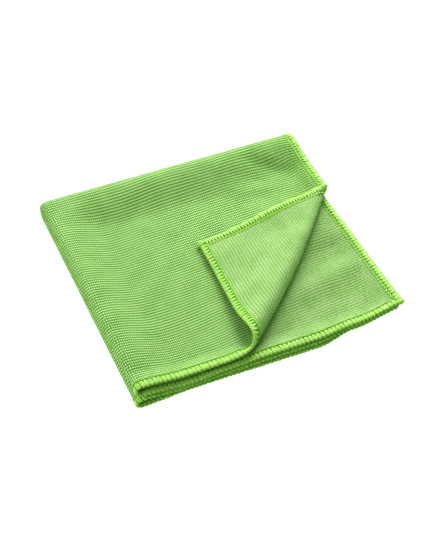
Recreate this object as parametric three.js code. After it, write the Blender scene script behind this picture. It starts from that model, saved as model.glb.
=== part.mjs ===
import * as THREE from 'three';

// A square microfibre cloth folded twice into a quarter, with the free corner of its top layer
// turned back. Millimetres, +Z up. The cloth lies on z = 0, its outline centred on x = y = 0.
// Along the flat cloth, u and v run from the two creases at u = 0 and v = 0. Where both are above
// zero is the top layer. The second has u below zero, the third both, and the lowest v below zero.

const cutSide = 400;              // side of the flat square
const halfSide = cutSide / 2;
const fieldThick = 1.6;           // knitted cloth
const hemThick = 2.4;             // cloth with the overlocked edging round it
const lipThick = 1.8;             // rounded outer edge of the hem
const hemWidth = 6.2;
const lipWidth = 2;
const hemStep = 1.4;              // the hem falls to the bare cloth over this width
const layerGap = 0.7;             // air between two layers
const hemGap = 1.3;               // air between two hems

const leftCentreX = -95.5;        // left folds: centre line and reach of the round
const leftReach = { upper: 4.6, lower: 5.1 };
const leftQuarter = 6.3;          // cloth used by a quarter turn of a left fold
const backCentreY = 90;           // back fold: centre line, and reach of its outer and inner layers
const backReach = { outer: 8.6, innerAtLeft: 4 };
const backQuarter = 12.7;         // cloth used by a quarter turn of the back fold

const leftPuff = { back: 4.3, front: 2.7 };   // extra height that keeps each left fold open
const leftPuffWidth = 31;
const backPuff = 8.1;             // extra height that keeps the back fold open
const backPuffWidth = 34;
const backPuffAtHem = 0.4;        // share of it where the hems take up the height
const backPuffAtLeft = 0.25;      // and where the left folds do
const puffEase = 0.6;
const puffGap = 0.6;              // more air under the top layer where the back fold lifts it
const hemInFold = 0.2;            // share of the hem's thickness that parts the layers in a left fold
const hemShoulder = 13;           // the layers rise to their stacked hems over this width
const frontLoft = 1.7;            // the top hem stands a little off the one below
const frontLoftDepth = 60;
const edgeEase = 100;             // the free edges wander, and the cloth follows over this width
const slopeStep = 0.3;            // the cloth's slope is taken over this much to each side
const floorSnap = 0.2;            // an underside lower than this lies flat on z = 0

// The turned corner rolls over the line from front to side, a wide roll at the front and a tight
// one at the side. Its lower half rises and its upper half comes back over the cloth.
const rollLine = { front: new THREE.Vector2(-17.3, -93.7), side: new THREE.Vector2(95.7, 27.6) };
const rollBow = 3.9;                           // the line bows outwards by this much at its middle
const rollLow = { front: 6.9, side: 3 };       // reach of the lower half
const rollHigh = { front: 5.7, side: 2.9 };    // reach of the upper half
const rollTop = { front: 21.1, side: 17.4 };   // height of the middle of the cloth on its top
const rollLowShare = 0.48;                     // share of the roll's height in its lower half
const flapLevel = { front: 12.8, side: 17.2 }; // height that the flap settles to beside the roll
const flapSettle = 9.2;                        // over this much cloth
const flapFall = 0.06;                         // slope from there down to the corner
const flapScale = 0.94;                        // the turned corner is drawn in a little
const flapSkew = 0.1;                          // and leans to the side
const flapSkewEase = 10;
const flapRest = 2.6;                          // least height of the flap above the layer under it
const flapRestEase = 1.5;

// Soft hills and hollows: place, half lengths, turn in degrees, height. First those of the top
// layer, next the hill under the turned corner, then those of the second layer where it lies open.
// The turned corner has its own.
const waves = [
  { x: 71, y: 71, along: 20, across: 6.5, turn: -42, lift: -2 },
  { x: 46, y: 57, along: 30, across: 9, turn: -18, lift: 1.9 },
  { x: 64, y: 10, along: 42, across: 25, turn: -14, lift: 4.6 },
  { x: 60, y: -49, along: 34, across: 9, turn: 15, lift: 3.5 },
  { x: 80, y: -23, along: 24, across: 7, turn: 15, lift: -1.8 },
];
const flapWaves = [
  { x: 46, y: 24, along: 32, across: 9, turn: 4, lift: 2.2 },
  { x: 52, y: 4, along: 24, across: 8, turn: 4, lift: -1.9 },
  { x: 4, y: -2, along: 14, across: 8, turn: 15, lift: 1.4 },
  { x: 7, y: -42, along: 13, across: 6, turn: 8, lift: 1.1 },
];

// How far each layer's free edges stand from their even place, towards +Y or +X.
const frontEdge = [
  { at: -100, top: -0.7, second: -3.0, third: -3.4, lowest: -3.7 },
  { at: -60, top: -0.7, second: -3.7, third: -2.6, lowest: -1.6 },
  { at: -37, top: -0.5, second: -2.3, third: -2.0, lowest: -1.6 },
  { at: -10, top: 3.0, second: -1.3, third: -1.6, lowest: -1.8 },
  { at: 30, top: -0.2, second: -1.3, third: -1.6, lowest: -2.0 },
  { at: 60, top: 0, second: 1.3, third: 2.6, lowest: 4.0 },
  { at: 100, top: 0, second: 6.8, third: 8.2, lowest: 9.6 },
];
const rightEdge = [
  { at: -100, top: 2.7, second: 0.9, third: -0.4, lowest: 0.2 },
  { at: -30, top: 2.7, second: -0.7, third: -1.4, lowest: -0.8 },
  { at: 30, top: 2.6, second: -2.3, third: -1.8, lowest: -1.2 },
  { at: 100, top: 1.5, second: 0.6, third: 0, lowest: 0 },
];

// Rows of the mesh: each goes on from the last to its place along the cloth in this many steps.
const rowsU = [
  { to: -193.8, steps: 2 }, { to: -175, steps: 3 }, { to: -40, steps: 3 }, { to: -leftQuarter, steps: 4 },
  { to: leftQuarter, steps: 6 }, { to: 40, steps: 4 }, { to: 76, steps: 2 }, { to: 112, steps: 12 },
  { to: 175, steps: 10 }, { to: 193.8, steps: 3 }, { to: 200, steps: 3 },
];
const rowsV = [
  { to: -193.8, steps: 2 }, { to: -175, steps: 3 }, { to: -46, steps: 3 }, { to: -backQuarter, steps: 4 },
  { to: backQuarter, steps: 7 }, { to: 46, steps: 4 }, { to: 58, steps: 1 }, { to: 94, steps: 11 },
  { to: 175, steps: 12 }, { to: 193.8, steps: 3 }, { to: 200, steps: 3 },
];

const mix = THREE.MathUtils.lerp;
const smoothstep = THREE.MathUtils.smoothstep;
const quarterLength = (reach, rise) => Math.PI / 2 * Math.sqrt((reach * reach + rise * rise) / 2);
const ramp = (x, ease) => (x + Math.sqrt(x * x + ease * ease)) / 2;

function edgeShift(stations, at, layer) {
  let k = 0;
  while (k < stations.length - 2 && at > stations[k + 1].at) k += 1;
  const from = stations[k];
  const to = stations[k + 1];
  return mix(from[layer], to[layer], smoothstep(at, from.at, to.at));
}

function waveHeight(x, y, hills) {
  let height = 0;
  for (const wave of hills) {
    const turn = THREE.MathUtils.degToRad(wave.turn);
    const along = ((x - wave.x) * Math.cos(turn) + (y - wave.y) * Math.sin(turn)) / wave.along;
    const across = ((y - wave.y) * Math.cos(turn) - (x - wave.x) * Math.sin(turn)) / wave.across;
    height += wave.lift * Math.exp(-along * along - across * across);
  }
  return height;
}

// 0 in the field and 1 over the hems at the right and front edges.
function hemShare(x, y) {
  const shoulder = hemWidth + hemShoulder;
  const right = 1 - smoothstep(halfSide / 2 - x, hemWidth, shoulder);
  const front = 1 - smoothstep(halfSide / 2 + y, hemWidth, shoulder);
  return 1 - (1 - right) * (1 - front);
}

// Heights of the middle of the four layers over one place.
function layerLevels(x, y) {
  const hem = hemShare(x, y);
  const left = 1 - smoothstep(x, leftCentreX, leftCentreX + leftPuffWidth);
  const back = smoothstep(y, backCentreY - backPuffWidth, backCentreY);
  const front = smoothstep(-y, frontLoftDepth, halfSide / 2);
  const thick = mix(fieldThick, hemThick, hem);
  const foldThick = mix(fieldThick, hemThick, hem * mix(1, hemInFold, left));
  const foldPuff = mix(leftPuff.back, leftPuff.front, front) * (1 - backPuffAtLeft * back);
  const gap = mix(layerGap, hemGap, hem);
  const foldPitch = foldThick + gap + foldPuff * left;
  const puff = backPuff * back * mix(1, backPuffAtHem, hem) * mix(1, backPuffAtLeft, left);
  const lift = puff + waveHeight(x, y, waves) * (1 - hem) * (1 - left);
  const lowest = thick / 2;
  const third = lowest + foldPitch;
  const second = third + thick + gap + ramp(lift, puffEase);
  const top = second + foldPitch + (frontLoft * front + puffGap * back) * (1 - left);
  return { top, second, third, lowest };
}

// Turns the part of the top layer beyond the roll's line up and back over itself.
function turnBack(x, y, z) {
  const line = rollLine.side.clone().sub(rollLine.front);
  const along = line.clone().normalize();
  const out = new THREE.Vector2(along.y, -along.x);
  const place = new THREE.Vector2(x, y).sub(rollLine.front);
  const run = place.dot(along);
  const share = run / line.length();
  const bow = rollBow * 4 * share * (1 - share);
  const beyond = place.dot(out) - bow;
  const low = mix(rollLow.front, rollLow.side, share);
  if (beyond <= -low) return { x, y, z };

  const high = mix(rollHigh.front, rollHigh.side, share);
  const topHeight = mix(rollTop.front, rollTop.side, share);
  const foot = rollLine.front.clone().addScaledVector(along, run).addScaledVector(out, bow - low);
  const footHeight = layerLevels(foot.x, foot.y).top;
  const lowRise = (topHeight - footHeight) * rollLowShare;
  const highRise = (topHeight - footHeight) * (1 - rollLowShare);
  const lowLength = quarterLength(low, lowRise);
  const highLength = quarterLength(high, highRise);
  const past = beyond + low - lowLength;         // cloth past the roll's outermost line
  let reach;
  let height;
  let settled = 0;                               // 0 to 1 up the roll, 1 on the flap
  if (past < 0) {
    const angle = past / lowLength * Math.PI / 2;
    reach = -low * (1 - Math.cos(angle));
    height = footHeight + lowRise * (1 + Math.sin(angle));
  } else if (past < highLength) {
    const angle = past / highLength * Math.PI / 2;
    reach = -high * (1 - Math.cos(angle));
    height = footHeight + lowRise + highRise * Math.sin(angle);
    settled = Math.sin(angle) ** 2;
  } else {
    const flat = past - highLength;
    reach = -high - flat * flapScale;
    const level = mix(flapLevel.front, flapLevel.side, share);
    const settling = (1 + flat / flapSettle) * Math.exp(-flat / flapSettle);
    height = level - flapFall * flat + (topHeight - level) * settling;
    settled = 1;
  }
  const skewed = run + flapSkew * (ramp(past, flapSkewEase) - ramp(-lowLength, flapSkewEase));
  const spot = rollLine.front.clone().addScaledVector(along, skewed).addScaledVector(out, bow + reach);
  height += settled * waveHeight(spot.x, spot.y, flapWaves);
  const rest = layerLevels(spot.x, spot.y).top + flapRest;
  return { x: spot.x, y: spot.y, z: height + settled * ramp(rest - height, flapRestEase) };
}

// The middle of the cloth at one place of the flat square.
function middlePoint(u, v) {
  const upper = Math.abs(u) < leftQuarter ? Math.sin(u / leftQuarter * Math.PI / 2) : Math.sign(u);
  const raised = Math.abs(v) < backQuarter ? Math.sin(v / backQuarter * Math.PI / 2) : Math.sign(v);
  const topSide = (1 + upper) / 2;
  const leftRound = mix(leftReach.lower, leftReach.upper, (1 + raised) / 2) * Math.sqrt(1 - upper * upper);
  const evenX = leftCentreX - leftRound + Math.max(0, Math.abs(u) - leftQuarter);
  const hem = smoothstep(Math.abs(u), halfSide - hemWidth - hemShoulder, halfSide - hemWidth);
  const innerReach = backReach.outer - mix(fieldThick + layerGap, hemThick + hemGap, hem);
  const left = 1 - smoothstep(evenX, leftCentreX, leftCentreX + leftPuffWidth);
  const secondReach = mix(innerReach, backReach.innerAtLeft, left);
  const backRound = mix(secondReach, backReach.outer, topSide) * Math.sqrt(1 - raised * raised);
  const evenY = backCentreY + backRound - Math.max(0, Math.abs(v) - backQuarter);
  const [near, far] = v > 0 ? ['top', 'second'] : ['lowest', 'third'];
  const shift = (stations, at) => mix(edgeShift(stations, at, far), edgeShift(stations, at, near), topSide);
  const x = evenX + shift(rightEdge, evenY) * smoothstep(Math.abs(u), halfSide - edgeEase, halfSide);
  const y = evenY + shift(frontEdge, evenX) * smoothstep(Math.abs(v), halfSide - edgeEase, halfSide);

  const level = layerLevels(x, y);
  const over = mix(level.second, level.top, topSide);
  const under = mix(level.third, level.lowest, topSide);
  const z = mix(under, over, (1 + raised) / 2);
  return u > 0 && v > 0 ? turnBack(x, y, z) : { x, y, z };
}

function thickness(u, v) {
  const inset = halfSide - Math.max(Math.abs(u), Math.abs(v));
  const lip = mix(lipThick, hemThick, smoothstep(inset, 0, lipWidth));
  return mix(lip, fieldThick, smoothstep(inset, hemWidth - hemStep, hemWidth));
}

// One face of the cloth: side 1 is the right side, side -1 the wrong side.
function facePoint(u, v, side) {
  const difference = (a, b) => new THREE.Vector3(a.x - b.x, a.y - b.y, a.z - b.z);
  const acrossU = difference(middlePoint(u + slopeStep, v), middlePoint(u - slopeStep, v));
  const acrossV = difference(middlePoint(u, v + slopeStep), middlePoint(u, v - slopeStep));
  const normal = acrossV.cross(acrossU).normalize();
  const middle = middlePoint(u, v);
  const point = new THREE.Vector3(middle.x, middle.y, middle.z);
  point.addScaledVector(normal, side * thickness(u, v) / 2);
  if (point.z < floorSnap) point.z = 0;
  return point;
}

function gridLines(rows) {
  const lines = [-halfSide];
  for (const row of rows) {
    const from = lines[lines.length - 1];
    for (let k = 1; k <= row.steps; k += 1) lines.push(mix(from, row.to, k / row.steps));
  }
  return lines;
}

function clothGeometry() {
  const linesU = gridLines(rowsU);
  const linesV = gridLines(rowsV);
  const countU = linesU.length;
  const countV = linesV.length;
  const positions = [];
  for (const side of [1, -1]) {
    for (const v of linesV) {
      for (const u of linesU) positions.push(...facePoint(u, v, side).toArray());
    }
  }
  const at = (side, i, j) => (side > 0 ? 0 : countU * countV) + j * countU + i;
  const index = [];
  const quad = (a, b, c, d) => index.push(a, b, d, b, c, d);
  for (let j = 0; j < countV - 1; j += 1) {
    for (let i = 0; i < countU - 1; i += 1) {
      quad(at(1, i, j), at(1, i, j + 1), at(1, i + 1, j + 1), at(1, i + 1, j));
      quad(at(-1, i, j), at(-1, i + 1, j), at(-1, i + 1, j + 1), at(-1, i, j + 1));
    }
  }
  const rim = [];
  for (let i = 0; i < countU - 1; i += 1) rim.push([i, 0]);
  for (let j = 0; j < countV - 1; j += 1) rim.push([countU - 1, j]);
  for (let i = countU - 1; i > 0; i -= 1) rim.push([i, countV - 1]);
  for (let j = countV - 1; j > 0; j -= 1) rim.push([0, j]);
  rim.forEach(([i, j], k) => {
    const [iNext, jNext] = rim[(k + 1) % rim.length];
    quad(at(1, i, j), at(1, iNext, jNext), at(-1, iNext, jNext), at(-1, i, j));
  });
  const geometry = new THREE.BufferGeometry();
  geometry.setAttribute('position', new THREE.Float32BufferAttribute(positions, 3));
  geometry.setIndex(index);
  geometry.computeBoundingBox();
  const box = geometry.boundingBox;
  geometry.translate(-(box.min.x + box.max.x) / 2, -(box.min.y + box.max.y) / 2, 0);
  geometry.computeVertexNormals();
  return geometry;
}

const clothMaterial = new THREE.MeshStandardMaterial({ color: 0x7cc548, roughness: 0.9, metalness: 0 });
const cloth = new THREE.Mesh(clothGeometry(), clothMaterial);
cloth.name = 'cloth';

const part = new THREE.Group();
part.add(cloth);
export default part;
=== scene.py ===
# A square microfibre cloth folded into a quarter, the free corner of its top layer turned back:
# ribbed knit, overlocked hem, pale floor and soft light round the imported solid.
import math

import bpy
import numpy as np
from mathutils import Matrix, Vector


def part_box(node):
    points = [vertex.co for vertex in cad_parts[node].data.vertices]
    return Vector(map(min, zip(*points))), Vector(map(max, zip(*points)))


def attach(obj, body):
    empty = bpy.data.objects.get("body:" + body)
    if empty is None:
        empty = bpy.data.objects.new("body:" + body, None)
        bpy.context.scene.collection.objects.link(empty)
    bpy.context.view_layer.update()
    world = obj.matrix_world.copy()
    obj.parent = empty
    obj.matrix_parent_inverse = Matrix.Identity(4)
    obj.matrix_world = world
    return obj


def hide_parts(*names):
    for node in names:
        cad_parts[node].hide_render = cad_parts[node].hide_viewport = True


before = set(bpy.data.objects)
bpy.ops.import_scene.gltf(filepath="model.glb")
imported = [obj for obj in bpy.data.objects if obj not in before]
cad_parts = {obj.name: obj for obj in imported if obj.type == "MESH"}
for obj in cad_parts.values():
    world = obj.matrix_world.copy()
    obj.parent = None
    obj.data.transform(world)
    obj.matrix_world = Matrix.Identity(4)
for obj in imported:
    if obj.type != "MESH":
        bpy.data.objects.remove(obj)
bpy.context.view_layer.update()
cadLow, cadHigh = (np.array(corner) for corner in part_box("cloth"))
millimetre = 0.001
print("packed cloth loaded")

# How the cloth is folded, in millimetres. Along the flat cloth u and v run from its two creases:
# both above zero is the top layer, u below zero the second, both the third, v the lowest.
folding = {
    "halfSide": 200.0,
    "fieldThick": 1.6, "hemThick": 2.4, "hemWidth": 6.2, "layerGap": 0.7, "hemGap": 1.3,
    "leftCentreX": -95.5, "leftReach": {"upper": 4.6, "lower": 5.1}, "leftQuarter": 6.3,
    "backCentreY": 90.0, "backReach": {"outer": 8.6, "innerAtLeft": 4.0}, "backQuarter": 12.7,
    "leftPuff": {"back": 4.3, "front": 2.7}, "leftPuffWidth": 31.0,
    "backPuff": 8.1, "backPuffWidth": 34.0, "backPuffAtHem": 0.4, "backPuffAtLeft": 0.25,
    "puffEase": 0.6, "puffGap": 0.6, "hemInFold": 0.2, "hemShoulder": 13.0,
    "frontLoft": 1.7, "frontLoftDepth": 60.0, "edgeEase": 100.0,
}
turnedCorner = {
    "front": np.array([-17.3, -93.7]), "side": np.array([95.7, 27.6]), "bow": 3.9,
    "low": {"front": 6.9, "side": 3.0}, "high": {"front": 5.7, "side": 2.9},
    "top": {"front": 21.1, "side": 17.4}, "lowShare": 0.48,
    "level": {"front": 12.8, "side": 17.2}, "settle": 9.2, "fall": 0.06,
    "scale": 0.94, "skew": 0.1, "skewEase": 10.0, "rest": 2.6, "restEase": 1.5,
}
# Soft hills and hollows of the two upper layers: place, half lengths, turn, height. Two show in
# the top layer, one lies under the turned corner and two show in the second layer.
waves = [
    (71, 71, 20, 6.5, -42, -2.0), (46, 57, 30, 9, -18, 1.9),
    (64, 10, 42, 25, -14, 4.6), (60, -49, 34, 9, 15, 3.5), (80, -23, 24, 7, 15, -1.8),
]
# those of the turned corner itself
flapWaves = [
    (46, 24, 32, 9, 4, 2.2), (52, 4, 24, 8, 4, -1.9),
    (4, -2, 14, 8, 15, 1.4), (7, -42, 13, 6, 8, 1.1),
]
# How far each layer's edge stands back or out from a straight one, at places along it.
frontEdge = {
    "at": [-100, -60, -37, -10, 30, 60, 100],
    "top": [-0.7, -0.7, -0.5, 3.0, -0.2, 0, 0],
    "second": [-3.0, -3.7, -2.3, -1.3, -1.3, 1.3, 6.8],
    "third": [-3.4, -2.6, -2.0, -1.6, -1.6, 2.6, 8.2],
    "lowest": [-3.7, -1.6, -1.6, -1.8, -2.0, 4.0, 9.6],
}
rightEdge = {
    "at": [-100, -30, 30, 100],
    "top": [2.7, 2.7, 2.6, 1.5],
    "second": [0.9, -0.7, -2.3, 0.6],
    "third": [-0.4, -1.4, -1.8, 0],
    "lowest": [0.2, -0.8, -1.2, 0],
}


def mix(low, high, share):
    return low + (high - low) * share


def easeStep(x, low, high):
    t = np.clip((x - low) / (high - low), 0, 1)
    return t * t * (3 - 2 * t)


def softRamp(x, ease):
    return (x + np.sqrt(x * x + ease * ease)) / 2


def quarterLength(reach, rise):
    return math.pi / 2 * np.sqrt((reach * reach + rise * rise) / 2)


def unit(vectors):
    tiny = 1e-9
    return vectors / np.maximum(np.linalg.norm(vectors, axis=-1, keepdims=True), tiny)


def edgeShift(table, at, layer):
    stations, shifts = np.array(table["at"], float), np.array(table[layer], float)
    k = np.clip(np.searchsorted(stations, at) - 1, 0, len(stations) - 2)
    return mix(shifts[k], shifts[k + 1], easeStep(at, stations[k], stations[k + 1]))


def waveHeight(x, y, hills):
    height = np.zeros_like(x)
    for placeX, placeY, halfAlong, halfAcross, turn, lift in hills:
        cosine, sine = math.cos(math.radians(turn)), math.sin(math.radians(turn))
        along = ((x - placeX) * cosine + (y - placeY) * sine) / halfAlong
        across = ((y - placeY) * cosine - (x - placeX) * sine) / halfAcross
        height = height + lift * np.exp(-along * along - across * across)
    return height


# 1 at the open hems, 0 in the field.
def hemShare(x, y):
    f = folding
    shoulder, edge = f["hemWidth"] + f["hemShoulder"], f["halfSide"] / 2
    right = 1 - easeStep(edge - x, f["hemWidth"], shoulder)
    front = 1 - easeStep(edge + y, f["hemWidth"], shoulder)
    return 1 - (1 - right) * (1 - front)


# Heights of the middles of the four layers over the surface that the cloth lies on.
def layerLevels(x, y):
    f = folding
    hem = hemShare(x, y)
    left = 1 - easeStep(x, f["leftCentreX"], f["leftCentreX"] + f["leftPuffWidth"])
    back = easeStep(y, f["backCentreY"] - f["backPuffWidth"], f["backCentreY"])
    front = easeStep(-y, f["frontLoftDepth"], f["halfSide"] / 2)
    thick = mix(f["fieldThick"], f["hemThick"], hem)
    foldThick = mix(f["fieldThick"], f["hemThick"], hem * mix(1, f["hemInFold"], left))
    foldPuff = mix(f["leftPuff"]["back"], f["leftPuff"]["front"], front)
    gap = mix(f["layerGap"], f["hemGap"], hem)
    foldPitch = foldThick + gap + foldPuff * (1 - f["backPuffAtLeft"] * back) * left
    puff = (f["backPuff"] * back * mix(1, f["backPuffAtHem"], hem)
            * mix(1, f["backPuffAtLeft"], left))
    lift = puff + waveHeight(x, y, waves) * (1 - hem) * (1 - left)
    lowest = thick / 2
    third = lowest + foldPitch
    second = third + thick + gap + softRamp(lift, f["puffEase"])
    top = second + foldPitch + (f["frontLoft"] * front + f["puffGap"] * back) * (1 - left)
    return top, second, third, lowest


# Turns the part of the top layer beyond the roll's line up and back over itself: a low and a high
# quarter of the roll, then the flat part, which settles on what lies under it.
def turnBack(x, y, z):
    t = turnedCorner
    line = t["side"] - t["front"]
    length = np.linalg.norm(line)
    along = line / length
    out = np.array([along[1], -along[0]])
    place = np.stack([x, y], -1) - t["front"]
    run = place @ along
    share = run / length
    bow = t["bow"] * 4 * share * (1 - share)
    beyond = place @ out - bow
    low = mix(t["low"]["front"], t["low"]["side"], share)
    high = mix(t["high"]["front"], t["high"]["side"], share)
    topHeight = mix(t["top"]["front"], t["top"]["side"], share)
    foot = t["front"] + run[..., None] * along + (bow - low)[..., None] * out
    footHeight = layerLevels(foot[..., 0], foot[..., 1])[0]
    lowRise = (topHeight - footHeight) * t["lowShare"]
    highRise = (topHeight - footHeight) * (1 - t["lowShare"])
    lowLength, highLength = quarterLength(low, lowRise), quarterLength(high, highRise)
    past = beyond + low - lowLength
    lowAngle = past / lowLength * math.pi / 2
    highAngle = past / highLength * math.pi / 2
    flat = past - highLength
    level = mix(t["level"]["front"], t["level"]["side"], share)
    settling = (1 + flat / t["settle"]) * np.exp(-np.maximum(flat, 0) / t["settle"])
    flapHeight = level - t["fall"] * flat + (topHeight - level) * settling
    stages = [past < 0, past < highLength]
    reach = np.select(
        stages, [-low * (1 - np.cos(lowAngle)), -high * (1 - np.cos(highAngle))],
        -high - flat * t["scale"])
    height = np.select(
        stages, [footHeight + lowRise * (1 + np.sin(lowAngle)),
                 footHeight + lowRise + highRise * np.sin(highAngle)], flapHeight)
    settled = np.select(stages, [0 * past, np.sin(highAngle) ** 2], 1.0)
    ease = t["skewEase"]
    skewed = run + t["skew"] * (softRamp(past, ease) - softRamp(-lowLength, ease))
    spot = t["front"] + skewed[..., None] * along + (bow + reach)[..., None] * out
    height = height + settled * waveHeight(spot[..., 0], spot[..., 1], flapWaves)
    rest = layerLevels(spot[..., 0], spot[..., 1])[0] + t["rest"]
    height = height + settled * softRamp(rest - height, t["restEase"])
    stays = beyond <= -low
    return (np.where(stays, x, spot[..., 0]), np.where(stays, y, spot[..., 1]),
            np.where(stays, z, height))


# The middle of the cloth at places of the flat square.
def middlePoint(u, v):
    f = folding
    half = f["halfSide"]
    upper = np.sin(np.clip(u / f["leftQuarter"], -1, 1) * math.pi / 2)
    raised = np.sin(np.clip(v / f["backQuarter"], -1, 1) * math.pi / 2)
    topSide, overSide = (1 + upper) / 2, (1 + raised) / 2
    leftRound = mix(f["leftReach"]["lower"], f["leftReach"]["upper"], overSide)
    leftRound = leftRound * np.sqrt(np.maximum(1 - upper * upper, 0))
    evenX = f["leftCentreX"] - leftRound + np.maximum(0, abs(u) - f["leftQuarter"])
    hem = easeStep(abs(u), half - f["hemWidth"] - f["hemShoulder"], half - f["hemWidth"])
    innerReach = f["backReach"]["outer"] - mix(
        f["fieldThick"] + f["layerGap"], f["hemThick"] + f["hemGap"], hem)
    left = 1 - easeStep(evenX, f["leftCentreX"], f["leftCentreX"] + f["leftPuffWidth"])
    secondReach = mix(innerReach, f["backReach"]["innerAtLeft"], left)
    backRound = mix(secondReach, f["backReach"]["outer"], topSide)
    backRound = backRound * np.sqrt(np.maximum(1 - raised * raised, 0))
    evenY = f["backCentreY"] + backRound - np.maximum(0, abs(v) - f["backQuarter"])

    def shift(table, at):
        near = np.where(v > 0, edgeShift(table, at, "top"), edgeShift(table, at, "lowest"))
        far = np.where(v > 0, edgeShift(table, at, "second"), edgeShift(table, at, "third"))
        return mix(far, near, topSide)

    x = evenX + shift(rightEdge, evenY) * easeStep(abs(u), half - f["edgeEase"], half)
    y = evenY + shift(frontEdge, evenX) * easeStep(abs(v), half - f["edgeEase"], half)
    top, second, third, lowest = layerLevels(x, y)
    z = mix(mix(third, lowest, topSide), mix(second, top, topSide), overSide)
    turnedX, turnedY, turnedZ = turnBack(x, y, z)
    isTop = (u > 0) & (v > 0)
    return np.stack([np.where(isTop, turnedX, x), np.where(isTop, turnedY, y),
                     np.where(isTop, turnedZ, z)], -1)


# Middle, normal towards the right side, and directions along u and v.
def clothFrame(u, v):
    step = 0.3
    alongU = middlePoint(u + step, v) - middlePoint(u - step, v)
    alongV = middlePoint(u, v + step) - middlePoint(u, v - step)
    return middlePoint(u, v), unit(np.cross(alongV, alongU)), unit(alongU), unit(alongV)


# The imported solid's own thickness: so thick at its rim, at its fullest from roundedAt inwards,
# and thinner again from hemEndsAt to where the hem ends.
solidHem = {"rimThick": 1.8, "roundedAt": 2.0, "hemEndsAt": 4.8, "gridLines": 161}


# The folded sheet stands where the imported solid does.
def shiftToSolid():
    half = folding["halfSide"]
    lines = np.linspace(-half, half, solidHem["gridLines"])
    u, v = np.meshgrid(lines, lines)
    middle, normal = clothFrame(u, v)[:2]
    inset = half - np.maximum(abs(u), abs(v))
    full = easeStep(inset, 0, solidHem["roundedAt"])
    thick = mix(solidHem["rimThick"], folding["hemThick"], full)
    inField = easeStep(inset, solidHem["hemEndsAt"], folding["hemWidth"])
    thick = mix(thick, folding["fieldThick"], inField)
    faces = [middle + side * normal * thick[..., None] / 2 for side in (1, -1)]
    low = np.min([face.min((0, 1)) for face in faces], 0)
    high = np.max([face.max((0, 1)) for face in faces], 0)
    shift = (cadLow + cadHigh) / 2 / millimetre - (low + high) / 2
    return np.array([shift[0], shift[1], 0.0])


placeShift = shiftToSolid()
print("sheet set on the packed solid, shifted by", placeShift.round(3))


def makePiece(name, points, faces, materials):
    mesh = bpy.data.meshes.new(name)
    mesh.from_pydata((points * millimetre).tolist(), [], faces)
    for material in materials:
        mesh.materials.append(material)
    piece = bpy.data.objects.new(name, mesh)
    bpy.context.collection.objects.link(piece)
    mesh.polygons.foreach_set("use_smooth", [True] * len(mesh.polygons))
    return piece


# The knit's two sides: colours in linear light, of which the groove colour is painted shade in the
# ribs' grooves, the tip colour a painted highlight on the stitches' tips, and the colour under the
# hem partly the pressed cloth's deeper colour and partly painted shade in the pits between its
# stitches; how much of the painted shading follows the ribs, how strongly the painted highlights on
# the stitches' tips and the fuzz show, and the fuzz's size in millimetres.
knit = {
    "right": {
        "crest": (0.355, 0.575, 0.18), "grooveShade": (0.04, 0.165, 0.008), "tipHighlight": (0.66, 0.83, 0.48),
        "pressedAndShadedUnderHem": (0.2, 0.5, 0.05), "ribShare": 0.56, "tipHighlightStrength": 2.1, "fuzz": 1.1, "fuzzSize": 0.6,
    },
    "wrong": {
        "crest": (0.385, 0.53, 0.245), "grooveShade": (0.16, 0.33, 0.065), "tipHighlight": (0.56, 0.7, 0.42),
        "pressedAndShadedUnderHem": (0.13, 0.42, 0.02), "ribShare": 0.55, "tipHighlightStrength": 1.5, "fuzz": 2.4, "fuzzSize": 1.0,
    },
    "wander": 2.4, "wanderScale": 0.12,         # the stitches wander along a rib
    "beadPitch": 1.36,                          # length of a stitch
    "beadsFull": 110.0, "beadsFaint": 185.0,    # from the left fold, where they show most and least
    "beadsMost": 0.5, "beadsLeast": 0.2,
    "patches": 0.4, "patchScale": 0.07,         # share of the fuzz that lies in wide patches
    "fuzzRoughness": 0.6, "tipHighlightFuzz": 1.6, "hemLine": 1.0,
    "stitchHigh": 0.7, "fuzzHigh": 0.8, "bump": 0.6, "bumpHigh": 0.35,
    "roughness": 0.92, "gloss": 0.1,
    "sheen": 0.15, "sheenRoughness": 0.5, "sheenTint": (0.55, 1.0, 0.35),
}
threadFinish = {
    "bright": (0.46, 0.67, 0.185), "deep": (0.24, 0.52, 0.06),
    "fibres": (1.2, 26.0, 1.0),                 # along and round a strand
    "fibreShare": 0.5, "blotchShare": 0.4, "base": 0.13, "blotchScale": 0.35,
    "bump": 0.3, "bumpHigh": 0.2, "roughness": 0.5, "gloss": 0.25, "sheen": 0.05,
}


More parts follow.
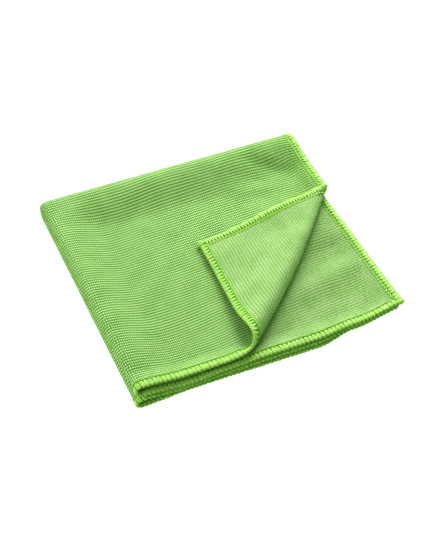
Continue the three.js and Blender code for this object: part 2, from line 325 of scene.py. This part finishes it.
# Adds nodes to one material. An input is a number, a colour or another node's output.
class NodePen:
    def __init__(self, name):
        self.material = bpy.data.materials.new(name)
        self.material.use_nodes = True
        self.tree = self.material.node_tree
        self.shader = next(n for n in self.tree.nodes if n.type == "BSDF_PRINCIPLED")

    def fill(self, socket, value):
        if hasattr(value, "is_output"):
            self.tree.links.new(value, socket)
        else:
            socket.default_value = value

    def add(self, kind, inputs=None, **settings):
        node = self.tree.nodes.new(kind)
        for key, value in settings.items():
            setattr(node, key, value)
        for key, value in (inputs or {}).items():
            self.fill(node.inputs[key], value)
        return node

    def math(self, operation, *values):
        return self.add("ShaderNodeMath", dict(enumerate(values)), operation=operation).outputs[0]

    def times(self, value, factor, plus):
        return self.math("MULTIPLY_ADD", value, factor, plus)

    def vector(self, operation, *values):
        return self.add(
            "ShaderNodeVectorMath", dict(enumerate(values)), operation=operation).outputs[0]

    def noise(self, place, scale, detail, output=0, **more):
        inputs = {"Vector": place, "Scale": scale, "Detail": detail, **more}
        return self.add("ShaderNodeTexNoise", inputs).outputs[output]

    def ramp(self, value, low, high, atLow=0.0, atHigh=1.0):
        inputs = {"Value": value, 1: low, 2: high, 3: atLow, 4: atHigh}
        return self.add("ShaderNodeMapRange", inputs).outputs[0]

    def clamp(self, value):
        return self.add("ShaderNodeClamp", {0: value}).outputs[0]

    def blend(self, share, low, high):
        node = self.add("ShaderNodeMix", data_type="RGBA")
        self.fill(node.inputs["Factor"], share)
        for key, value in ((6, low), (7, high)):
            self.fill(node.inputs[key], value if hasattr(value, "is_output") else (*value, 1))
        return node.outputs[2]

    def finish(self, colour, height, look):
        bump = self.add("ShaderNodeBump", {
            "Height": height, "Strength": look["bump"],
            "Distance": look["bumpHigh"] * millimetre})
        self.fill(self.shader.inputs["Base Color"], colour)
        self.fill(self.shader.inputs["Normal"], bump.outputs[0])
        self.shader.inputs["Roughness"].default_value = look["roughness"]
        self.shader.inputs["Specular IOR Level"].default_value = look["gloss"]
        self.shader.inputs["Sheen Weight"].default_value = look["sheen"]


def knitMaterial(name, look):
    pen, k, side = NodePen(name), knit, 2 * folding["halfSide"]
    place = pen.add("ShaderNodeUVMap", uv_map="flatPlace").outputs[0]
    flat = pen.vector("MULTIPLY", place, (side, side, side))
    wander = pen.noise(flat, k["wanderScale"], 2.0, "Color")
    wander = pen.vector("SUBTRACT", wander, (0.5, 0.5, 0.5))
    wander = pen.vector("MULTIPLY", wander, (k["wander"], 0.0, 0.0))
    axes = pen.add("ShaderNodeSeparateXYZ", {0: pen.vector("ADD", flat, wander)})
    alongRib, acrossRib = axes.outputs[0], axes.outputs[1]
    ribTurn = pen.math("MULTIPLY", acrossRib, 2 * math.pi / sheet["ribPitch"])
    rib = pen.times(pen.math("COSINE", ribTurn), -0.5, 0.5)
    # the stitches of a rib show less towards the right hems
    fromFold = pen.math("ABSOLUTE", pen.math("SUBTRACT", alongRib, folding["halfSide"]))
    shows = pen.ramp(fromFold, k["beadsFull"], k["beadsFaint"], k["beadsMost"], k["beadsLeast"])
    beadTurn = pen.math("MULTIPLY", alongRib, 2 * math.pi / k["beadPitch"])
    beads = pen.times(pen.math("COSINE", beadTurn), shows, 0.5)
    stitches = pen.math("MULTIPLY", rib, beads)
    fuzz = pen.noise(flat, 1 / look["fuzzSize"], 2.0, Roughness=k["fuzzRoughness"])
    patches = pen.noise(flat, k["patchScale"], 3.0)
    share = pen.times(fuzz, look["fuzz"], -0.5 * look["fuzz"] * (1 + k["patches"]))
    share = pen.times(patches, k["patches"] * look["fuzz"], share)
    share = pen.times(beads, 1 - look["ribShare"], share)
    share = pen.clamp(pen.times(rib, look["ribShare"], share))
    # painted shade: the ribs' grooves and the hollows between a rib's stitches go towards the
    # darker groove colour; the fuzz and wide patches also vary the tone at random between the two
    # colours
    colour = pen.blend(share, look["grooveShade"], look["crest"])
    # painted highlight: the stitches' tips, and the fuzz where it stands high, are blended towards
    # the pale tip colour
    tipHighlightShare = pen.times(stitches, look["tipHighlightStrength"], pen.times(fuzz, k["tipHighlightFuzz"], -k["tipHighlightFuzz"]))
    colour = pen.blend(pen.clamp(tipHighlightShare), colour, look["tipHighlight"])
    # under the hem's sewing the cloth is darker and deeper green: partly the pressed cloth's own
    # colour, partly painted shade of the pits between the stitches
    apart = pen.vector("SUBTRACT", place, (0.5, 0.5, 0.0))
    apart = pen.add("ShaderNodeSeparateXYZ", {0: pen.vector("ABSOLUTE", apart)})
    fromMiddle = pen.math("MAXIMUM", apart.outputs[0], apart.outputs[1])
    hemStart = folding["halfSide"] - folding["hemWidth"]
    pressedAndShadedHem = pen.ramp(pen.math("MULTIPLY", fromMiddle, side), hemStart, hemStart + k["hemLine"])
    colour = pen.blend(pressedAndShadedHem, colour, look["pressedAndShadedUnderHem"])
    height = pen.times(stitches, k["stitchHigh"], pen.math("MULTIPLY", fuzz, k["fuzzHigh"]))
    pen.finish(colour, height, k)
    pen.shader.inputs["Sheen Roughness"].default_value = k["sheenRoughness"]
    pen.shader.inputs["Sheen Tint"].default_value = (*k["sheenTint"], 1)
    return pen.material


def threadMaterial():
    pen, look = NodePen("edgingThread"), threadFinish
    place = pen.add("ShaderNodeUVMap", uv_map="threadPlace").outputs[0]
    fibres = pen.noise(pen.vector("MULTIPLY", place, look["fibres"]), 1.0, 2.0)
    blotch = pen.noise(place, look["blotchScale"], 1.0)
    share = pen.times(blotch, look["blotchShare"], look["base"])
    share = pen.clamp(pen.times(fibres, look["fibreShare"], share))
    pen.finish(pen.blend(share, look["deep"], look["bright"]), fibres, look)
    return pen.material


# The knitted sheet. Four rows of the mesh go over each rib.
sheet = {
    "ribs": 171, "rowsPerRib": 4,
    "inset": 1.1,               # the sheet ends this far inside the edging
    "hemHalf": 0.55,            # half its thickness under the edging
    "fieldEase": 2.0,           # width over which the hem's thickness goes over to the field's
    "rimEase": (-0.6, 0.8),     # the rim is rounded from and to so far in from the sheet's end
    "rightRibs": [-0.36, -0.02, 0.12, -0.02],   # groove, flank, crest, flank on the right side
    "wrongRibs": [-0.06, 0.0, 0.03, 0.0],
    "wrongDeeper": 6.0, "deeperEase": 40,       # so much deeper in the second and third layers
    "pressedBelow": 0.3, "pressedShare": 0.2,   # what lies on the surface is pressed flat
    # columns: place along the cloth and steps from the last
    "columns": [(-193.8, 2), (-175, 2), (-40, 6), (-6.3, 4), (6.3, 8), (40, 5), (76, 4),
                (112, 14), (193.8, 22), (199.2, 2)],
}
sheet["ribPitch"] = 2 * folding["halfSide"] / sheet["ribs"]
# How far the ribs have drifted towards +v at places along u, how much they ripple and over which
# lengths, and where both end towards the hems.
ribDrift = {
    "at": [-190, -60, 40, 120, 188], "off": [0, 1.2, 2.6, -0.2, -1.4],
    "ripple": 0.3, "rippleLengths": [(9, 17), (14, -11)],
    "endsAlong": (184, 199), "endsAcross": (150, 190),
}


def driftedPlace(u, v):
    d = ribDrift
    ripple = d["ripple"] * sum(np.sin(u / alongU + v / alongV)
                               for alongU, alongV in d["rippleLengths"])
    drift = (edgeShift(d, u, "off") + ripple) * (1 - easeStep(abs(u), *d["endsAlong"]))
    return v + drift * (1 - easeStep(abs(v), *d["endsAcross"]))


def makeSheet(rightMaterial, wrongMaterial, edgeMaterial):
    s = sheet
    half = folding["halfSide"] - s["inset"]
    columns = [-half]
    for place, steps in s["columns"]:
        columns += list(np.linspace(columns[-1], min(place, half), steps + 1)[1:])
    step = s["ribPitch"] / s["rowsPerRib"]
    count = int(half / step)
    inner = np.arange(-count, count + 1)
    rows = np.concatenate([[-half], inner * step, [half]])
    phase = np.concatenate([[0], inner, [0]]) % s["rowsPerRib"]
    u, v = np.meshgrid(columns, rows)
    middle, normal = clothFrame(u, driftedPlace(u, v))[:2]
    inset = folding["halfSide"] - np.maximum(abs(u), abs(v))
    inField = easeStep(inset, folding["hemWidth"] - s["fieldEase"], folding["hemWidth"])
    rounding = easeStep(inset, *(s["inset"] + ease for ease in s["rimEase"]))
    points = []
    for side, ribs in ((1, s["rightRibs"]), (-1, s["wrongRibs"])):
        relief = np.array(ribs)[phase][:, None] * inField
        if side < 0:
            relief = relief * mix(1, s["wrongDeeper"], easeStep(-u, 0, s["deeperEase"]))
        reach = mix(s["hemHalf"] * rounding, folding["fieldThick"] / 2, inField) + relief
        points.append(middle + side * normal * reach[..., None])
    points = np.concatenate([face.reshape(-1, 3) for face in points]) + placeShift
    pressed = np.maximum(points[:, 2], 0) * s["pressedShare"]
    points[:, 2] = np.where(points[:, 2] < s["pressedBelow"], pressed, points[:, 2])
    index = np.arange(u.size).reshape(u.shape)
    a, b = index[:-1, :-1], index[1:, :-1]
    c, d = index[1:, 1:], index[:-1, 1:]
    rightFaces = np.stack([a, b, c, d], -1).reshape(-1, 4)
    wrongFaces = np.stack([a, d, c, b], -1).reshape(-1, 4) + u.size
    rim = np.concatenate([index[0, :-1], index[:-1, -1], index[-1, :0:-1], index[:0:-1, 0]])
    rimNext = np.roll(rim, -1)
    rimFaces = np.stack([rim, rimNext, rimNext + u.size, rim + u.size], -1)
    faces = np.concatenate([rightFaces, wrongFaces, rimFaces])
    materials = [rightMaterial, wrongMaterial, edgeMaterial]
    piece = makePiece("knitted_sheet", points, faces.tolist(), materials)
    mesh = piece.data
    slots = np.repeat([0, 1, 2], [len(rightFaces), len(wrongFaces), len(rimFaces)])
    mesh.polygons.foreach_set("material_index", slots.astype(np.int32))
    place = np.stack([u, v], -1).reshape(-1, 2) / (2 * folding["halfSide"]) + 0.5
    place = np.concatenate([place, place])
    flat = mesh.uv_layers.new(name="flatPlace")
    flat.uv.foreach_set("vector", place[faces.ravel()].astype(np.float32).ravel())
    return piece


rightKnit = knitMaterial("knit_right", knit["right"])
wrongKnit = knitMaterial("knit_wrong", knit["wrong"])
thread = threadMaterial()
clothPiece = makeSheet(rightKnit, wrongKnit, thread)
print("knitted sheet made,", len(clothPiece.data.polygons), "faces")

# The overlock edging: in each stitch two looper strands leave the needle hole, spread to the
# edge, go round it and meet again at the hole on the other side. A needle thread holds them.
edging = {
    "holeInset": 5.2, "wrapInset": 1.1, "wrapRadius": 0.72, "wrapSteps": 7,
    # inset and height of a strand's middle from its hole to where it starts round the edge
    "crown": [(5.3, 0.5), (4.6, 0.74), (3.9, 0.82), (3.2, 0.85), (2.5, 0.83), (1.7, 0.76)],
    # half widths and places of a stitch's two strands at hole, middle and edge, for a stitch of
    # a full pitch, and the edge's share of that at the front
    "wide": (0.42, 0.86, 0.82), "apart": (0.2, 0.68, 0.62), "fullPitch": 3, "edgeAtFront": 0.65,
    # where along a strand, from the edge at 0 to the hole at 1, it has these sizes: at the edge,
    # narrowing, at its middle from and to, narrowing, at the hole
    "evenAt": [0, 0.22, 0.38, 0.64, 0.88, 1], "openAt": [0, 0.22, 0.34, 0.48, 0.76, 1],
    "narrowing": (0.25, 0.2),
    "strandHigh": 0.36, "strandSides": 8, "lean": 0.9, "strandShift": 3.7,
    # how uneven the stitches are: place along the hem, size, share of that in height, and inset
    # of what is deeper in than holeFrom
    "uneven": 0.12, "unevenSize": 0.06, "unevenHigh": 0.5, "unevenHole": 0.12, "holeFrom": 4.0,
    "seed": 7,
    "bareEnds": 2, "cornerRoom": 1.2, "overFloor": 0.02,
}
# At the corners the holes draw in along the diagonal, from where a strand is deeper than start.
mitre = {"start": 2.0, "room": 0.6, "leastRoom": 1.9, "leastShare": 0.02}
braid = {"wide": 0.3, "inset": 1.3, "bulge": 0.4, "high": 0.75, "steps": 9}
needle = {
    "inset": 6.05, "wide": 0.4, "high": 0.34, "sides": 6, "lift": 0.82,
    "hump": {"u": 0.12, "v": 0.24}, "zigzag": 0.32, "stepsPerStitch": 6, "endStitches": 2,
}


# Points near one side of the square: along it, in from its edge, and above the cloth's middle.
def hemPoint(which, along, inset, height):
    held = np.maximum(inset, edging["wrapInset"])
    half = folding["halfSide"]
    axis, sign = which
    u = sign * (half - held) if axis == "u" else along
    v = along if axis == "u" else sign * (half - held)
    middle, normal, alongU, alongV = clothFrame(u, v)
    out = sign * (alongU if axis == "u" else alongV)
    point = middle + out * (held - inset)[..., None] + normal * height[..., None]
    return point + placeShift, normal, out


# Tubes of flattened section round paths. outward says which way each path's flat top looks.
def strandTubes(paths, outward, wide, high, sides):
    many, count = paths.shape[:2]
    tangent = np.gradient(paths, axis=1)
    across = unit(np.cross(unit(tangent), outward))
    upward = unit(np.cross(across, unit(tangent)))
    turn = np.arange(sides) / sides * 2 * math.pi
    rings = (paths[:, :, None]
             + across[:, :, None] * (wide[..., None, None] * np.cos(turn)[:, None])
             + upward[:, :, None] * (high[..., None, None] * np.sin(turn)[:, None]))
    index = np.arange(many * count * sides).reshape(many, count, sides)
    a, b = index[:, :-1], np.roll(index[:, :-1], -1, 2)
    d, c = index[:, 1:], np.roll(index[:, 1:], -1, 2)
    walls = np.stack([a, d, c, b], -1).reshape(-1, 4).tolist()
    caps = index[:, 0, :].tolist() + index[:, -1, ::-1].tolist()
    steps = np.linalg.norm(np.diff(paths, axis=1), axis=-1)
    length = np.concatenate([np.zeros((many, 1)), np.cumsum(steps, 1)], 1)
    length = length + np.arange(many)[:, None] * edging["strandShift"]
    place = np.stack(np.broadcast_arrays(
        length[:, :, None], (turn / (2 * math.pi))[None, None]), -1)
    return rings.reshape(-1, 3), walls + caps, place.reshape(-1, 2)


# One piece of several strands or sets of strands.
def threadPiece(name, strands, material):
    points = np.concatenate([strandPoints for strandPoints, _, _ in strands])
    points[:, 2] = np.maximum(points[:, 2], edging["overFloor"])
    places = np.concatenate([strandPlaces for _, _, strandPlaces in strands])
    faces, base = [], 0
    for strandPoints, strandFaces, _ in strands:
        faces += [[corner + base for corner in face] for face in strandFaces]
        base += len(strandPoints)
    piece = makePiece(name, points, faces, [material])
    corners = np.array([corner for face in faces for corner in face])
    layer = piece.data.uv_layers.new(name="threadPlace")
    layer.uv.foreach_set("vector", places[corners].astype(np.float32).ravel())
    return piece


# Inset and height of a strand's middle, from its hole over the right side, round the edge and
# back to the hole on the wrong side.
def strandProfile():
    e = edging
    insets = [inset for inset, _ in e["crown"]]
    heights = [height for _, height in e["crown"]]
    wrap = np.linspace(math.pi / 2, -math.pi / 2, e["wrapSteps"])
    wrapInsets = list(e["wrapInset"] - e["wrapRadius"] * np.cos(wrap))
    wrapHeights = list(e["wrapRadius"] * np.sin(wrap))
    return (np.array(insets + wrapInsets + insets[::-1]),
            np.array(heights + wrapHeights + [-height for height in heights[::-1]]))


# The looper strands round the edge, two in each stitch.
def looperStrands(which, pitch, start, draw):
    e, m = edging, mitre
    half, stitches = folding["halfSide"], len(start)
    size = 1 + draw.normal(0, e["unevenSize"], (stitches, 1))
    # the top layer's hem is stretched, so that its stitches stand open on the wrong side
    stretched = np.full((stitches, 1), 1.0 if which == ("u", 1) else 0.0)
    if which == ("v", 1):
        stretched[start > 0] = 1.0
    profileInset, profileHeight = strandProfile()
    room = np.clip(half - abs(start) + m["room"], m["leastRoom"], None)[:, None]
    share = (np.minimum(room, e["holeInset"]) - m["start"]) / (e["holeInset"] - m["start"])
    drawnIn = m["start"] + (profileInset - m["start"]) * np.clip(share, m["leastShare"], 1)
    inset = np.where(profileInset > m["start"], drawnIn, profileInset)
    height = np.broadcast_to(profileHeight, inset.shape) * mix(1, size, e["unevenHigh"])
    nearHole = profileInset > e["holeFrom"]
    inset = inset + draw.normal(0, e["unevenHole"], (stitches, 1)) * nearHole
    travel = np.linspace(-1, 1, len(profileInset))

    def alongStrand(key):
        hole, middle, edge = e[key]
        if which[0] == "v":
            edge *= e["edgeAtFront"]
        outer, inner = e["narrowing"]
        sizes = [edge, mix(edge, middle, outer), middle, middle, mix(hole, middle, inner), hole]
        even = np.interp(abs(travel), e["evenAt"], sizes)
        wideOpen = np.interp(abs(travel), e["openAt"], sizes)
        return mix(even, wideOpen, stretched * (travel > 0)) * pitch / e["fullPitch"]

    lean = e["lean"] * (which[1] if which[0] == "v" else -which[1])
    wide, high = size * alongStrand("wide"), e["strandHigh"] * size
    strands = []
    for arm in (-1, 1):
        along = start[:, None] + arm * alongStrand("apart") + lean * travel
        along = np.clip(along, -half + e["cornerRoom"], half - e["cornerRoom"])
        path, normal, out = hemPoint(which, along, inset, height)
        slopeInset, slopeHeight = np.gradient(inset, axis=1), np.gradient(height, axis=1)
        outward = unit(-out * slopeHeight[..., None] - normal * slopeInset[..., None])
        strands.append(strandTubes(
            path, outward, wide, high * np.ones_like(wide), e["strandSides"]))
    return strands


# Short braid strands lock the loopers along the very edge.
def braidStrands(which, pitch, start):
    b = braid
    travel = np.linspace(-1, 1, b["steps"])
    along = start[:-1, None] + pitch * (travel + 1) / 2
    inset = b["inset"] - b["bulge"] * np.cos(travel * math.pi / 2) + 0 * along
    height = np.broadcast_to(-b["high"] * np.sin(travel * math.pi / 2), inset.shape)
    path, _, out = hemPoint(which, along, inset, height)
    wide = np.full_like(inset, b["wide"])
    return strandTubes(path, out, wide, wide, edging["strandSides"])


# The needle thread: straight stitches on the right side, small zigzag loops on the wrong side.
def needleStrands(which, start):
    n = needle
    long = len(start) - 2 * n["endStitches"]
    steps = np.arange(n["stepsPerStitch"] * long + 1) / n["stepsPerStitch"]
    along = np.interp(steps + n["endStitches"], np.arange(len(start)), start)
    hump = n["hump"][which[0]] * np.sin(steps * math.pi) ** 2
    wide = np.full((1, len(steps)), n["wide"])
    high = np.full_like(wide, n["high"])
    strands = []
    for side in (1, -1):
        zigzag = 0.0 if side > 0 else n["zigzag"] * np.sin(steps * 2 * math.pi)
        inset = n["inset"] + zigzag + 0 * steps
        path, normal, _ = hemPoint(which, along, inset, side * (n["lift"] + hump))
        strands.append(strandTubes(path[None], side * normal[None], wide, high, n["sides"]))
    return strands


def makeEdging(name, which, pitch, material, draw):
    stitches = int((2 * folding["halfSide"] - edging["bareEnds"]) / pitch)
    start = (np.arange(stitches) + 0.5 - stitches / 2) * pitch
    start = start + draw.normal(0, edging["uneven"], stitches)
    strands = looperStrands(which, pitch, start, draw)
    strands += [braidStrands(which, pitch, start), *needleStrands(which, start)]
    return threadPiece(name, strands, material)


draw = np.random.default_rng(edging["seed"])
edgingPieces = [
    makeEdging("edging_outer_right", ("u", 1), 2.7, thread, draw),
    makeEdging("edging_inner_right", ("u", -1), 3.1, thread, draw),
    makeEdging("edging_upper_front", ("v", 1), 3.0, thread, draw),
    makeEdging("edging_lower_front", ("v", -1), 3.0, thread, draw),
]
print("edging sewn,", [len(piece.data.polygons) for piece in edgingPieces], "faces")

# At both ends of the upper front hem its thread is wound round the corner, with a short curled
# tail.
knot = {
    "turns": 3, "first": 0.9, "last": 3.0,      # turns and how far in along the diagonal
    "across": 0.8, "spread": 0.7, "lift": 1.25,
    "threadWide": 0.46, "tail": 0.4, "curl": 0.8,
    "stepsPerTurn": 14, "tailSteps": 12, "tailTurn": 2.2, "curlTurn": 4.5,
    "tailEnd": (0.95, 0.8),                     # widths of its last two rings
}


def cornerKnot(sign):
    k = knot
    half, slant = folding["halfSide"], math.sqrt(0.5)
    turn = np.linspace(0, 1, k["stepsPerTurn"] * k["turns"] + 1) * k["turns"] * 2 * math.pi
    deep = np.linspace(k["last"], k["first"], len(turn))
    across = (k["across"] + k["spread"] * deep) * np.cos(turn)
    lift = k["lift"] * np.sin(turn)
    loose = np.linspace(0, 1, k["tailSteps"] + 1)[1:]
    deep = np.append(deep, k["first"] - k["tail"] * np.sin(loose * k["tailTurn"]))
    across = np.append(across, across[-1] - k["curl"] * 2 * loose)
    lift = np.append(lift, k["curl"] * np.sin(loose * k["curlTurn"]))
    path, normal, _ = hemPoint(
        ("v", 1), sign * (half - slant * (deep - across)), slant * (deep + across), lift)
    axis = hemPoint(("v", 1), sign * (half - slant * deep), slant * deep, 0 * lift)[0]
    # a little of the normal keeps the direction sure where the path crosses its axis
    outward = unit(path - axis + 0.01 * normal)
    wide = np.full((1, len(path)), k["threadWide"])
    wide[0, -2:] *= np.array(k["tailEnd"])
    return strandTubes(path[None], outward[None], wide, wide, edging["strandSides"])


edgingPieces.append(threadPiece("corner_knots", [cornerKnot(1), cornerKnot(-1)], thread))
print("corner knots wound")

for piece in [clothPiece, *edgingPieces]:
    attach(piece, "root")
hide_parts("cloth")

# Floor, light and camera, in metres and degrees, the lens and sensor in millimetres.
studio = {
    "floorSize": 6.0, "floorBelow": 0.0003, "floorColour": (0.05, 0.05, 0.05), "floorGlow": 1.0,
    "skyColour": (0.84, 1.0, 0.8), "skyStrength": 0.42,
    "lowColour": (0.54, 1.0, 0.43), "lowStrength": 0.53,
    "lowUntil": -0.1, "skyFrom": 0.3,           # heights of direction where the two meet
    "keyPlace": (0.75, 1.02, 0.8), "keySize": 0.8, "keyPower": 32.5,
    "fillPlace": (-1.2, -0.1, 0.35), "fillSize": 1.0, "fillPower": 13.0,
}
view = {
    "azimuth": -23.18, "elevation": 45.35, "distance": 1.0609,
    "target": (-0.0008, -0.0054, 0.0), "lens": 99.45, "sensor": 36.0,
}


def makeFloor():
    size, low = studio["floorSize"] / 2, -studio["floorBelow"]
    mesh = bpy.data.meshes.new("floor")
    corners = [(-size, -size, low), (size, -size, low), (size, size, low), (-size, size, low)]
    mesh.from_pydata(corners, [], [(0, 1, 2, 3)])
    floor = bpy.data.objects.new("floor", mesh)
    bpy.context.collection.objects.link(floor)
    pen = NodePen("paleFloor")
    for key, value in (
            ("Base Color", (*studio["floorColour"], 1)), ("Roughness", 1.0),
            ("Specular IOR Level", 0.0), ("Emission Color", (1, 1, 1, 1)),
            ("Emission Strength", studio["floorGlow"])):
        pen.shader.inputs[key].default_value = value
    mesh.materials.append(pen.material)
    # the room, greener below than above, lights the cloth; the white floor only shows
    floor.visible_diffuse = False
    floor.visible_glossy = False


def makeRoom():
    world = bpy.data.worlds.new("softSky")
    world.use_nodes = True
    tree = world.node_tree
    direction = tree.nodes.new("ShaderNodeTexCoord").outputs["Generated"]
    axes = tree.nodes.new("ShaderNodeSeparateXYZ")
    share = tree.nodes.new("ShaderNodeMapRange")
    for key, value in ((1, studio["lowUntil"]), (2, studio["skyFrom"]), (3, 0.0), (4, 1.0)):
        share.inputs[key].default_value = value
    colour = tree.nodes.new("ShaderNodeMix")
    colour.data_type = "RGBA"
    for key, part in ((6, "low"), (7, "sky")):
        glow = [channel * studio[part + "Strength"] for channel in studio[part + "Colour"]]
        colour.inputs[key].default_value = (*glow, 1)
    tree.links.new(direction, axes.inputs[0])
    tree.links.new(axes.outputs[2], share.inputs[0])
    tree.links.new(share.outputs[0], colour.inputs[0])
    tree.links.new(colour.outputs[2], tree.nodes["Background"].inputs[0])
    tree.nodes["Background"].inputs[1].default_value = 1.0
    bpy.context.scene.world = world


def makeLamps():
    for name in ("key", "fill"):
        lamp = bpy.data.lights.new(name + "Lamp", "AREA")
        lamp.size = studio[name + "Size"]
        lamp.energy = studio[name + "Power"]
        light = bpy.data.objects.new(name + "Lamp", lamp)
        light.location = studio[name + "Place"]
        light.rotation_euler = Vector(studio[name + "Place"]).to_track_quat("Z", "Y").to_euler()
        bpy.context.collection.objects.link(light)
    bpy.context.scene.view_settings.view_transform = "Standard"
    bpy.context.scene.view_settings.look = "Medium High Contrast"


def makeCamera():
    azimuth, elevation = math.radians(view["azimuth"]), math.radians(view["elevation"])
    back = Vector((math.sin(azimuth) * math.cos(elevation),
                   -math.cos(azimuth) * math.cos(elevation), math.sin(elevation)))
    data = bpy.data.cameras.new("camera")
    data.sensor_fit = "VERTICAL"
    data.sensor_height = view["sensor"]
    data.lens = view["lens"]
    camera = bpy.data.objects.new("camera", data)
    camera.location = Vector(view["target"]) + back * view["distance"]
    camera.rotation_euler = back.to_track_quat("Z", "Y").to_euler()
    bpy.context.collection.objects.link(camera)
    bpy.context.scene.camera = camera


makeFloor()
makeRoom()
makeLamps()
makeCamera()
print("floor, light and camera set")
